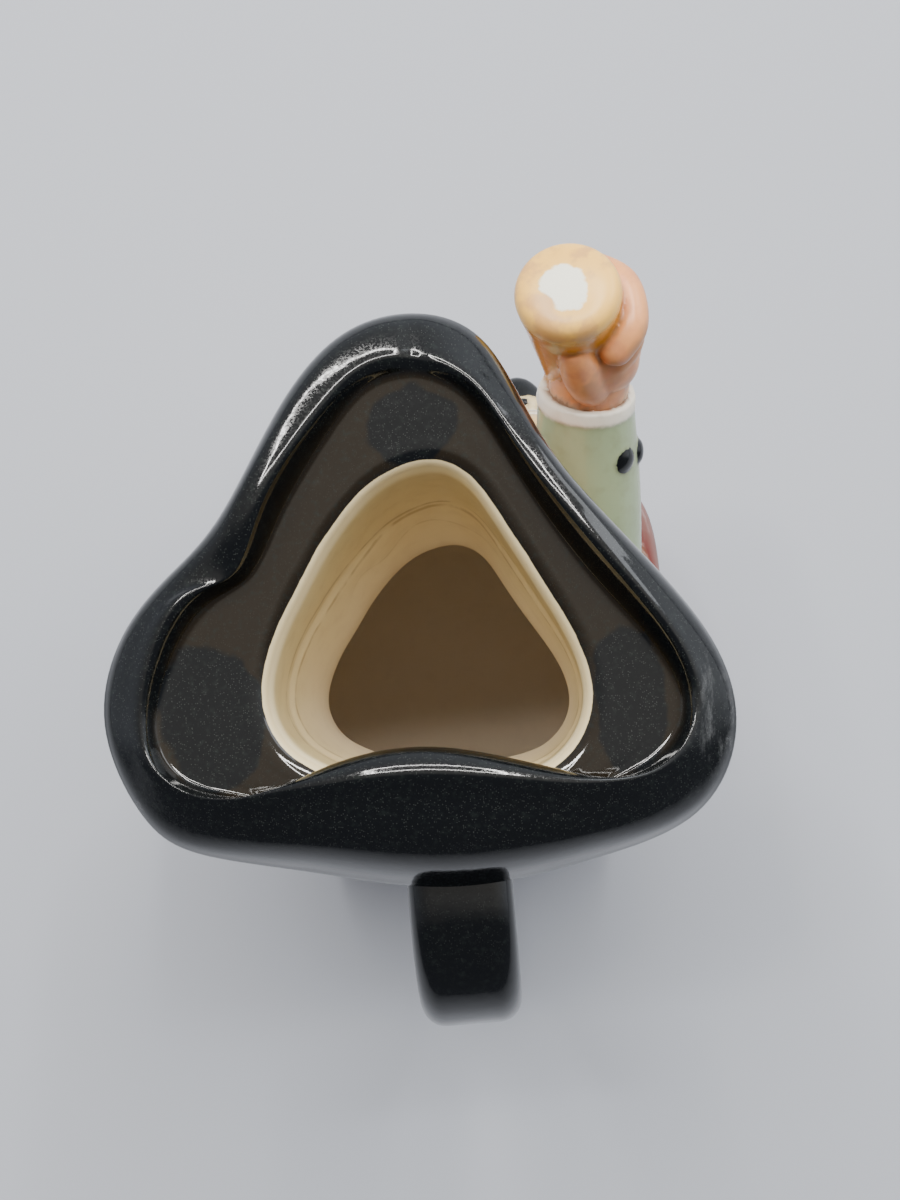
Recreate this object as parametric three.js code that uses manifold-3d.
// Toby jug: a hollow glazed earthenware figure of a seated drinker, whose three-cornered hat is the
// rim that the jug is filled and poured from. One casting, so one solid. Millimetres, +Z up.
// The figure faces -Y, the strap handle is at its back (+Y), and its right hand, at -X, holds the mug.

import * as THREE from 'three';
import { mergeVertices } from 'three/addons/utils/BufferGeometryUtils.js';
import Module from 'manifold-3d';

const wasm = await Module();
wasm.setup();

// ---------- driving dimensions ----------

const WALL = 4.6; // thickness of the cast wall round the hollow
const BRIM_ROOT_HEIGHT = 141; // where the hat sits on the head
const CROWN_HEIGHT = 156.6; // the level top of the hat, inside the brim
const LIP_RADIUS = 3.2; // rounding from the crown top into the mouth
const NECK_HEIGHT = 106; // narrowest level of the hollow
const NECK_SCALE = new THREE.Vector2(0.9, 0.8); // neck compared with the mouth
const NECK_PIN = new THREE.Vector2(-24.9, 26); // the point of the mouth that the neck keeps
const HOLLOW_FLOOR = 5.4; // inside bottom of the jug

const HEAD = { centre: [1, 0.5, 121], radii: [31, 31.5, 29] };
const PLINTH = { half: 47, front: -63, back: 41, height: 8, corner: 12, bevel: 1.6 };
const SEAT = { half: 50.6, front: -42, back: 40, top: 50 };
const HANDLE = { width: 18.4, depth: 9.6, reach: 64.8 };
const MUG = { rim: [-28.2, -60.3, 141], base: [-31, -51.5, 110], radius: 9.6 };

const RIM_STEPS = 38; // points round the hat and the hollow

// The hat, station by station round the rim, from the front point towards the figure's left (+X).
// edge: widest line of the turned-up brim; crest: top of its roll; foot: where the roll meets the
// level crown; mouth: the opening.
const HAT = [
  { edge: [-0.5, -56.8, 152], crest: [-0.5, -48.4, 159], foot: [0, -44.6], mouth: [-1.8, -30.6] },
  { edge: [12.6, -53.6, 152], crest: [9.4, -47, 160], foot: [7.8, -43.2], mouth: [6.5, -28.9] },
  { edge: [23.6, -41.8, 153], crest: [18.4, -38.6, 162.4], foot: [15, -36.2], mouth: [12.8, -24.2] },
  { edge: [32.8, -27, 153], crest: [27.4, -25.6, 163], foot: [23.6, -24.4], mouth: [18.4, -17.6] },
  { edge: [41.8, -17.4, 154], crest: [33.4, -14, 161.4], foot: [30.2, -13.8], mouth: [23, -10.4] },
  { edge: [52, -7.2, 154], crest: [43, -9.6, 159.8], foot: [39.4, -7.6], mouth: [27, -3.4] },
  { edge: [57.2, 8.4, 153.6], crest: [50.2, 8.4, 159.8], foot: [47.2, 8], mouth: [29.8, 6.6] },
  { edge: [52.6, 24.2, 152.2], crest: [45.4, 19.8, 161], foot: [44.4, 18.6], mouth: [26.8, 15.4] },
  { edge: [43.2, 32.2, 150.8], crest: [34, 22.6, 163.4], foot: [35.6, 22.6], mouth: [20.6, 20.2] },
  { edge: [24, 36.9, 149], crest: [18.6, 18.4, 166.6], foot: [21, 25.4], mouth: [12.6, 24] },
  { edge: [0.4, 39.9, 148], crest: [0.6, 17.1, 170], foot: [0.6, 26.6], mouth: [0.6, 25.4] },
  { edge: [-24, 38.5, 149.2], crest: [-19.4, 22.6, 166.2], foot: [-21, 26], mouth: [-12.8, 24] },
  { edge: [-41.6, 32, 151.2], crest: [-33.6, 24, 162.8], foot: [-33.4, 22.6], mouth: [-20.4, 20.2] },
  { edge: [-48.9, 18.2, 153.4], crest: [-41.6, 16.2, 160], foot: [-39, 15.6], mouth: [-24.6, 13] },
  { edge: [-45.4, 1.9, 154], crest: [-39.8, 3.4, 161.4], foot: [-36.4, 4.6], mouth: [-23.8, 3] },
  { edge: [-33.4, -15, 153.4], crest: [-28.8, -14.2, 163.4], foot: [-26, -10], mouth: [-18.4, -8.8] },
  { edge: [-21.4, -32.2, 153], crest: [-18.2, -30.4, 163], foot: [-15.6, -27.6], mouth: [-12.2, -20.6] },
  { edge: [-12.8, -50.4, 152], crest: [-10.2, -42.6, 160.2], foot: [-8.2, -40.4], mouth: [-8, -27.2] },
];

// ---------- turning shapes into solids ----------

function solid(geometry) {
  const bare = geometry.index ? geometry.toNonIndexed() : geometry.clone();
  bare.deleteAttribute('normal');
  bare.deleteAttribute('uv');
  const merged = mergeVertices(bare, 1e-3);
  const vertProperties = Float32Array.from(merged.attributes.position.array);
  const triVerts = Uint32Array.from(merged.index.array);
  const made = new wasm.Manifold(new wasm.Mesh({ numProp: 3, vertProperties, triVerts }));
  if (made.volume() > 0) return made;
  for (let i = 0; i < triVerts.length; i += 3) {
    [triVerts[i + 1], triVerts[i + 2]] = [triVerts[i + 2], triVerts[i + 1]];
  }
  return new wasm.Manifold(new wasm.Mesh({ numProp: 3, vertProperties, triVerts }));
}

// A closed skin through rings of equally many points, with a fan over each end.
function loft(rings) {
  const count = rings[0].length;
  const corners = [];
  const triangle = (a, b, c) => corners.push(...a.toArray(), ...b.toArray(), ...c.toArray());
  const middle = (ring) => ring.reduce((sum, p) => sum.add(p), new THREE.Vector3()).divideScalar(count);
  const first = middle(rings[0]);
  const last = middle(rings.at(-1));
  for (let i = 0; i < count; i += 1) {
    const j = (i + 1) % count;
    triangle(first, rings[0][j], rings[0][i]);
    triangle(last, rings.at(-1)[i], rings.at(-1)[j]);
    for (let k = 0; k + 1 < rings.length; k += 1) {
      triangle(rings[k][i], rings[k][j], rings[k + 1][j]);
      triangle(rings[k][i], rings[k + 1][j], rings[k + 1][i]);
    }
  }
  const geometry = new THREE.BufferGeometry();
  geometry.setAttribute('position', new THREE.Float32BufferAttribute(corners, 3));
  return solid(geometry);
}

function joined(parts) {
  return parts.reduce((whole, part) => whole.add(part));
}

// An ellipsoid, turned by Euler angles in degrees.
function egg(centre, radii, turn = [0, 0, 0], across = 12, up = 8) {
  const geometry = new THREE.SphereGeometry(1, across, up).rotateX(Math.PI / 2);
  geometry.scale(...radii);
  const angles = turn.map(THREE.MathUtils.degToRad);
  geometry.applyMatrix4(new THREE.Matrix4().makeRotationFromEuler(new THREE.Euler(...angles)));
  geometry.translate(...centre);
  return solid(geometry);
}

// A round limb along a smooth path, with a radius at each path point and domed ends.
function limb(points, radii, sides = 8, steps = 6) {
  const curve = new THREE.CatmullRomCurve3(points.map((p) => new THREE.Vector3(...p)));
  const frames = curve.computeFrenetFrames(steps, false);
  const radiusAt = (u) => {
    const place = u * (radii.length - 1);
    const low = Math.min(Math.floor(place), radii.length - 2);
    return THREE.MathUtils.lerp(radii[low], radii[low + 1], place - low);
  };
  const ringAt = (step, radius, along) => {
    const centre = curve.getPoint(step / steps).addScaledVector(frames.tangents[step], along);
    return Array.from({ length: sides }, (_, i) => {
      const angle = (2 * Math.PI * i) / sides;
      return centre.clone()
        .addScaledVector(frames.normals[step], radius * Math.cos(angle))
        .addScaledVector(frames.binormals[step], radius * Math.sin(angle));
    });
  };
  const start = radiusAt(0);
  const end = radiusAt(1);
  const rings = [ringAt(0, start * 0.4, -start * 0.9), ringAt(0, start * 0.8, -start * 0.6)];
  for (let step = 0; step <= steps; step += 1) {
    rings.push(ringAt(step, radiusAt(step / steps), 0));
  }
  rings.push(ringAt(steps, end * 0.8, end * 0.6), ringAt(steps, end * 0.4, end * 0.9));
  return loft(rings);
}

// A level ring: half-width across, and its own reach to the front and to the back, drawn squarer
// than an ellipse as the exponent grows.
function levelRing({ z, half, front, back, square = 2.3 }, count = 24) {
  const middle = (front + back) / 2;
  const deep = (back - front) / 2;
  const bent = (value) => Math.sign(value) * Math.abs(value) ** (2 / square);
  return Array.from({ length: count }, (_, i) => {
    const angle = (2 * Math.PI * i) / count;
    return new THREE.Vector3(half * bent(Math.cos(angle)), middle + deep * bent(Math.sin(angle)), z);
  });
}

// A flat-topped block with rounded upright corners.
function block({ half, front, back, corner }, low, high, bevel) {
  const inset = corner - bevel;
  const [side, near, far] = [half - bevel, front + bevel, back - bevel];
  const shape = new THREE.Shape();
  shape.moveTo(-side + inset, near);
  shape.lineTo(side - inset, near);
  shape.absarc(side - inset, near + inset, inset, -Math.PI / 2, 0);
  shape.absarc(side - inset, far - inset, inset, 0, Math.PI / 2);
  shape.absarc(-side + inset, far - inset, inset, Math.PI / 2, Math.PI);
  shape.absarc(-side + inset, near + inset, inset, Math.PI, 1.5 * Math.PI);
  const options = { depth: high - low - 2 * bevel, bevelSize: bevel, bevelThickness: bevel };
  const geometry = new THREE.ExtrudeGeometry(shape, { ...options, bevelSegments: 1, curveSegments: 3 });
  return solid(geometry.translate(0, 0, low + bevel));
}

const mirrored = (point) => [-point[0], point[1], point[2]];

// ---------- hat, mouth and hollow ----------

function rimCurve(name, height) {
  const points = HAT.map(({ [name]: place }) => new THREE.Vector3(place[0], place[1], place[2] ?? height));
  const curve = new THREE.CatmullRomCurve3(points, true, 'catmullrom', 0.5);
  return Array.from({ length: RIM_STEPS }, (_, i) => curve.getPoint(i / RIM_STEPS));
}

// Points pushed level and outward, away from the ring's middle.
function swollen(ring, by, height) {
  return ring.map((point, i) => {
    const before = ring[(i + ring.length - 1) % ring.length];
    const after = ring[(i + 1) % ring.length];
    const out = new THREE.Vector2(after.y - before.y, before.x - after.x).normalize();
    return new THREE.Vector3(point.x + out.x * by, point.y + out.y * by, height);
  });
}

function blended(from, to, level, rise = level) {
  return from.map((point, i) => new THREE.Vector3(
    THREE.MathUtils.lerp(point.x, to[i].x, level),
    THREE.MathUtils.lerp(point.y, to[i].y, level),
    THREE.MathUtils.lerp(point.z, to[i].z, rise),
  ));
}

const mouth = swollen(rimCurve('mouth', 0), -0.3 * LIP_RADIUS, CROWN_HEIGHT - LIP_RADIUS);
const neck = mouth.map((point) => new THREE.Vector3(
  NECK_PIN.x + NECK_SCALE.x * (point.x - NECK_PIN.x),
  NECK_PIN.y - 2 + NECK_SCALE.y * (point.y - NECK_PIN.y),
  NECK_HEIGHT,
));

// One level of the hollow inside the body, under the same points as the neck: half-width, depth to
// the front and to the back, and squareness.
function hollowRing(z, half, front, back, square = 2.6) {
  const middle = (front + back) / 2;
  const deep = (back - front) / 2;
  return neck.map((point) => {
    const angle = Math.atan2(point.y - middle, point.x);
    const across = Math.abs(Math.cos(angle) / half) ** square;
    const out = (across + Math.abs(Math.sin(angle) / deep) ** square) ** (-1 / square);
    return new THREE.Vector3(out * Math.cos(angle), middle + out * Math.sin(angle), z);
  });
}

// The hollow from the neck down to its floor, grown by the given amount.
function bodyHollow(grow) {
  const shoulder = hollowRing(NECK_HEIGHT - 15 + grow, 34, -25, 28);
  return [
    blended(neck, shoulder, 0.35, 0.45),
    shoulder,
    hollowRing(74, 34.6, -32, 29.6),
    hollowRing(SEAT.top, 37, -33, 30),
    hollowRing(SEAT.top - 12, 40, -32, 30, 4),
    hollowRing(HOLLOW_FLOOR + 6, 40, -32, 30, 4),
    hollowRing(HOLLOW_FLOOR, 34, -26, 24, 4),
  ].map((ring, i) => swollen(ring, grow, i < 6 ? ring[0].z : ring[0].z - grow / 2));
}

// The jug's wall, from the inside bottom up through the mouth, over the hat and back down outside.
function cup() {
  const edge = rimCurve('edge');
  const crest = rimCurve('crest');
  const foot = rimCurve('foot', CROWN_HEIGHT);
  const lip = swollen(mouth, LIP_RADIUS, CROWN_HEIGHT);
  const lipBend = swollen(mouth, LIP_RADIUS * 0.29, CROWN_HEIGHT - LIP_RADIUS * 0.29);
  const root = swollen(mouth, WALL, BRIM_ROOT_HEIGHT);
  const inside = [...bodyHollow(0).reverse(), neck, blended(neck, mouth, 0.5), mouth, lipBend, lip];
  const brim = [
    blended(lip, foot, 0.85),
    blended(foot, crest, 0.35, 0.14),
    blended(foot, crest, 0.62, 0.6),
    blended(foot, crest, 0.84, 0.93),
    crest,
    blended(crest, edge, 0.4, 0.1),
    blended(crest, edge, 0.75, 0.36),
    blended(crest, edge, 0.94, 0.7),
    edge,
    blended(edge, root, 0.06, 0.28),
    blended(edge, root, 0.45, 0.72),
    root,
  ];
  const outside = [swollen(neck, WALL, NECK_HEIGHT), ...bodyHollow(WALL)];
  return loft([...inside, ...brim, ...outside]);
}

// What the filled figure loses before the wall is put in: the hollow grown by half the wall.
function hollow() {
  const half = WALL / 2;
  const rings = [...bodyHollow(half).reverse(), swollen(neck, half, NECK_HEIGHT)];
  rings.push(swollen(mouth, half, BRIM_ROOT_HEIGHT + 10.5));
  return loft(rings);
}

// ---------- handle ----------

// A strap on an upright loop behind the back, square-shouldered across and slightly domed outside.
function handle() {
  const path = new THREE.CatmullRomCurve3([
    [0, 27, 136], [0, 41, 138.5], [0, 53, 137], [0, 61.5, 128.5], [0, HANDLE.reach, 112],
    [0, 60.5, 90], [0, 51, 68], [0, 36, 54],
  ].map((p) => new THREE.Vector3(...p)));
  const steps = 13;
  const rings = Array.from({ length: steps + 1 }, (_, k) => {
    const centre = path.getPoint(k / steps);
    const along = path.getTangent(k / steps);
    const outward = new THREE.Vector3(0, along.z, -along.y).negate();
    const strap = { z: 0, half: HANDLE.width / 2, front: -HANDLE.depth / 2, back: HANDLE.depth / 2 };
    return levelRing({ ...strap, square: 4.5 }, 16).map((p) => new THREE.Vector3(
      centre.x + p.x,
      centre.y + p.y * outward.y,
      centre.z + p.y * outward.z,
    ));
  });
  return loft(rings);
}

// ---------- head ----------

// Soft swellings and hollows of the face: place across and up, spread across and up, and push
// forward. Those off the middle line are repeated on the other side.
const FACE = [
  { at: [9.5, 132.6], spread: [7, 2.4], push: 2.2 }, // brow
  { at: [10.3, 127.6], spread: [5, 3.4], push: -3.4 }, // eye socket
  { at: [10.3, 127.2], spread: [3.3, 2.3], push: 2.6 }, // eyeball
  { at: [15.5, 117.6], spread: [7.5, 6], push: 2.8 }, // cheek
  { at: [0, 127], spread: [2.8, 6.5], push: 3.2 }, // bridge of the nose
  { at: [0, 119], spread: [3.6, 3.4], push: 8 }, // tip of the nose
  { at: [4.8, 117.6], spread: [2.4, 2.2], push: 2.4 }, // nostril
  { at: [0, 112.6], spread: [7, 1.7], push: 2 }, // upper lip
  { at: [0, 109], spread: [6, 1.8], push: 2.2 }, // lower lip
  { at: [0, 102], spread: [8, 3.8], push: 3.6 }, // chin
];

function head() {
  const [cx, cy, cz] = HEAD.centre;
  const geometry = new THREE.SphereGeometry(1, 28, 18).rotateX(Math.PI / 2);
  const place = geometry.attributes.position;
  for (let i = 0; i < place.count; i += 1) {
    const around = Math.atan2(place.getX(i), -place.getY(i));
    const closer = around - 0.6 * Math.sin(around); // more of the points on the face
    const nz = place.getZ(i);
    const level = Math.sqrt(Math.max(0, 1 - nz * nz));
    const nx = level * Math.sin(closer);
    const ny = -level * Math.cos(closer);
    const fullness = nz < 0 ? 1 - 0.16 * nz * nz : Math.sqrt(1 + nz ** 2 + nz ** 4);
    const x = cx + HEAD.radii[0] * nx * fullness;
    const z = cz + HEAD.radii[2] * nz * (nz < 0 ? 0.88 : 1);
    const facing = THREE.MathUtils.smoothstep(-ny, 0.1, 0.5);
    let push = 0;
    for (const { at, spread, push: amount } of FACE) {
      for (const side of at[0] ? [-1, 1] : [1]) {
        const across = (x - side * at[0]) / spread[0];
        const up = (z - at[1]) / spread[1];
        push += amount * Math.exp(-0.5 * (across * across + up * up));
      }
    }
    place.setXYZ(i, x, cy + HEAD.radii[1] * ny * fullness - facing * push, z);
  }
  return solid(geometry);
}

// Hair falls from under the hat over the ears and across the back of the neck.
function hair() {
  const locks = [
    [[29, 1, 133], [7.5, 12, 12]],
    [[30, 4, 120.5], [7.5, 11.5, 9]],
    [[29, 8, 109], [8.5, 11, 8.5]],
  ];
  const sides = locks.flatMap(([centre, radii]) => [
    egg(centre, radii, [0, 0, 0], 9, 6),
    egg(mirrored(centre), radii, [0, 0, 0], 9, 6),
  ]);
  return joined([...sides, egg([0, 14, 119], [29, 21, 23], [0, 0, 0], 16, 8)]);
}

// ---------- clothes and limbs ----------

// A low solid seat, moulded at its foot and under its overhanging top.
function seat() {
  const { half, front, back, top } = SEAT;
  const rows = [
    [PLINTH.height - 2, -3], [PLINTH.height + 4, -3], [PLINTH.height + 7, -5.4], [top - 11, -5],
    [top - 7, 0], [top - 1.5, 0], [top, -2],
  ];
  return loft(rows.map(([z, out]) => levelRing(
    { z, half: half + out, front: front - out, back: back + out, square: 5 },
    24,
  )));
}

function coat() {
  const body = [
    { z: SEAT.top - 6, half: 36, front: -36, back: 34 },
    { z: 66, half: 39, front: -40, back: 35 },
    { z: 78, half: 40, front: -37, back: 35 },
    { z: 91, half: 40.5, front: -31, back: 34 },
    { z: 100, half: 35, front: -25, back: 31 },
    { z: 106, half: 25, front: -20, back: 26 },
  ];
  const skirt = [
    { z: SEAT.top - 4, half: 46.4, front: -35, back: 37.6 },
    { z: SEAT.top + 3, half: 46.6, front: -35, back: 38 },
    { z: SEAT.top + 7, half: 45, front: -33, back: 37 },
    { z: SEAT.top + 24, half: 38, front: -22, back: 33.6 },
  ];
  return joined([body, skirt].map((rows) => loft(rows.map((row) => levelRing({ ...row, square: 2.6 })))));
}

// Lapels turned back from the cravat to the belly, the standing collar and the cravat's fall.
function frontOfCoat() {
  const lapel = [[13, -22, 104], [19, -31, 93], [17, -37.5, 80], [14, -39.5, 68], [16, -38.5, 57]];
  const lapels = [lapel, lapel.map(mirrored)].map((path) => limb(path, [3, 4.6, 4.4, 3.6, 3], 6, 5));
  const collar = [
    { z: 94, half: 33, front: -14, back: 29 },
    { z: 98, half: 36.6, front: -16, back: 34.6 },
    { z: 105, half: 34.4, front: -14, back: 36.4 },
    { z: 108, half: 31, front: -10, back: 34 },
  ];
  const standing = loft(collar.map((row) => levelRing(row, 20)));
  const cravat = [egg([0, -25.5, 97.5], [10.5, 6, 6]), egg([0, -31, 89], [7.5, 4.5, 9.5], [-14, 0, 0])];
  return joined([...lapels, standing, ...cravat]);
}

// A leg bent over the front of the seat: thigh, calf and buckled shoe. Side is -1 or 1.
function leg(side) {
  const thigh = limb([[17, -14, 52], [21, -32, 53], [23, -43, 50]], [15, 13.5, 11.5], 9, 2);
  const calf = limb([[23.4, -46, 46], [24, -48, 34], [24, -47, 20]], [9.6, 9.4, 6.6], 9, 2);
  const heel = egg([24, -44.5, 14.5], [7.4, 8, 8]);
  const toe = egg([22.8, -58, 12.6], [8, 12.4, 6.2], [0, 0, -6], 12, 7);
  const buckle = egg([23, -60, 17.4], [4.6, 4, 2.2], [18, 0, 0], 8, 5);
  const right = joined([thigh, calf, heel, toe, buckle]);
  return side > 0 ? right : right.mirror([1, 0, 0]);
}

// The right arm is bent and raised, the left one rests its hand on the thigh.
function arms() {
  const raised = limb(
    [[-28, 8, 91], [-31, -3, 86], [-31.5, -15, 88], [-31.8, -30, 99.5], [-32, -43, 110.4]],
    [12.5, 11.8, 10.8, 10.2, 9.9],
    9,
    4,
  );
  const cuff = limb([[-32, -42.4, 110], [-32.2, -46.4, 113.6]], [8.8, 8.8], 10, 1);
  const resting = limb(
    [[28, 8, 91], [37, 1, 82], [41, -9, 72], [36, -23, 68], [28.5, -31, 67.5]],
    [12.5, 10.8, 9.6, 9.2, 9],
    9,
    4,
  );
  const wrist = egg([26, -35, 66.6], [8, 6.5, 5.6], [0, 0, 25]);
  const fingers = [0, 1, 2, 3].map((n) => {
    const x = 31.5 - 4.3 * n;
    return limb([[x, -36.5, 68], [x - 1.4, -42.5, 66.8], [x - 2.2, -47, 63]], [2.6, 2.5, 2.1], 6, 2);
  });
  return joined([raised, cuff, resting, wrist, ...fingers]);
}

const mugBase = new THREE.Vector3(...MUG.base);
const mugAxis = new THREE.Vector3(...MUG.rim).sub(mugBase);
const mugHeight = mugAxis.length();
const mugTurn = new THREE.Quaternion().setFromUnitVectors(new THREE.Vector3(0, 0, 1), mugAxis.normalize());

// The ale mug leans forward out of the fist, with froth standing over its rim.
function mug() {
  const profile = [
    [0, 0], [0.72, 0], [0.84, 0.06], [0.85, 0.2], [0.93, 0.55], [0.98, 0.88], [1, 0.95], [0.94, 1.04],
    [0.66, 1.11], [0, 1.14],
  ].map(([out, up]) => new THREE.Vector2(out * MUG.radius, up * mugHeight));
  const geometry = new THREE.LatheGeometry(profile, 16).rotateX(Math.PI / 2);
  return solid(geometry.applyQuaternion(mugTurn).translate(...MUG.base));
}

// A place beside the mug: angle round it in degrees, distance out from its axis, height up it.
function besideMug(angle, out, up) {
  const turn = THREE.MathUtils.degToRad(angle);
  const place = new THREE.Vector3(out * Math.cos(turn), out * Math.sin(turn), up);
  return place.applyQuaternion(mugTurn).add(mugBase).toArray();
}

// Palm behind the mug, four fingers round its outer side and the thumb up its inner side.
function fist() {
  const palm = egg(besideMug(118, 8.4, 13), [8.8, 7, 10], [-30, 0, 0], 14, 8);
  const fingers = [0, 1, 2, 3].map((n) => {
    const up = 24.4 - 5.2 * n;
    const out = MUG.radius + 1.5 - 0.45 * n;
    const path = [[128, -1], [165, 0], [205, 0.2], [243, -0.4]];
    const points = path.map(([angle, rise]) => besideMug(angle, out, up + rise));
    return limb(points, [3.4, 3.4, 3.2, 2.6], 6, 4);
  });
  const thumb = limb([besideMug(98, 11, 8), besideMug(90, 10.8, 16), besideMug(86, 10.2, 23.5)], [4, 3.4, 2.6], 6, 3);
  return joined([palm, ...fingers, thumb]);
}

function buttons() {
  const sleeve = [[-39.4, -33.6, 110.6], [-42, -36, 105.4]].map((place) => egg(place, [2.1, 2.1, 2.1], [0, 0, 0], 6, 4));
  const front = [61, 70, 79].map((z) => egg([0, z === 79 ? -38 : -40.4, z], [2.2, 1.8, 2.2], [0, 0, 0], 6, 4));
  return joined([...sleeve, ...front]);
}

// ---------- the whole casting ----------

const plinth = block(PLINTH, 0, PLINTH.height, PLINTH.bevel);
const figure = joined([
  plinth, seat(), coat(), frontOfCoat(), leg(-1), leg(1), arms(), head(), hair(), mug(), fist(), buttons(), handle(),
]);
const castings = figure.subtract(hollow()).add(cup()).decompose();
// Any crumb that the cuts leave is dropped with this: the jug is the one body of real volume.
const casting = castings.reduce((most, body) => (body.volume() > most.volume() ? body : most));

const { vertProperties, triVerts, numProp } = casting.getMesh();
const corners = Array.from(triVerts, (index) => [...vertProperties.slice(index * numProp, index * numProp + 3)]);
const geometry = new THREE.BufferGeometry();
geometry.setAttribute('position', new THREE.Float32BufferAttribute(corners.flat(), 3));

// The origin is under the middle of the jug's overall box.
geometry.computeBoundingBox();
const middle = geometry.boundingBox.getCenter(new THREE.Vector3());
geometry.translate(-middle.x, -middle.y, -geometry.boundingBox.min.z);
geometry.computeVertexNormals();

const glaze = new THREE.MeshStandardMaterial({ color: 0x15171a, roughness: 0.12, metalness: 0 });
const jug = new THREE.Mesh(geometry, glaze);
jug.name = 'toby_jug';

const object = new THREE.Group();
object.add(jug);

export default object;
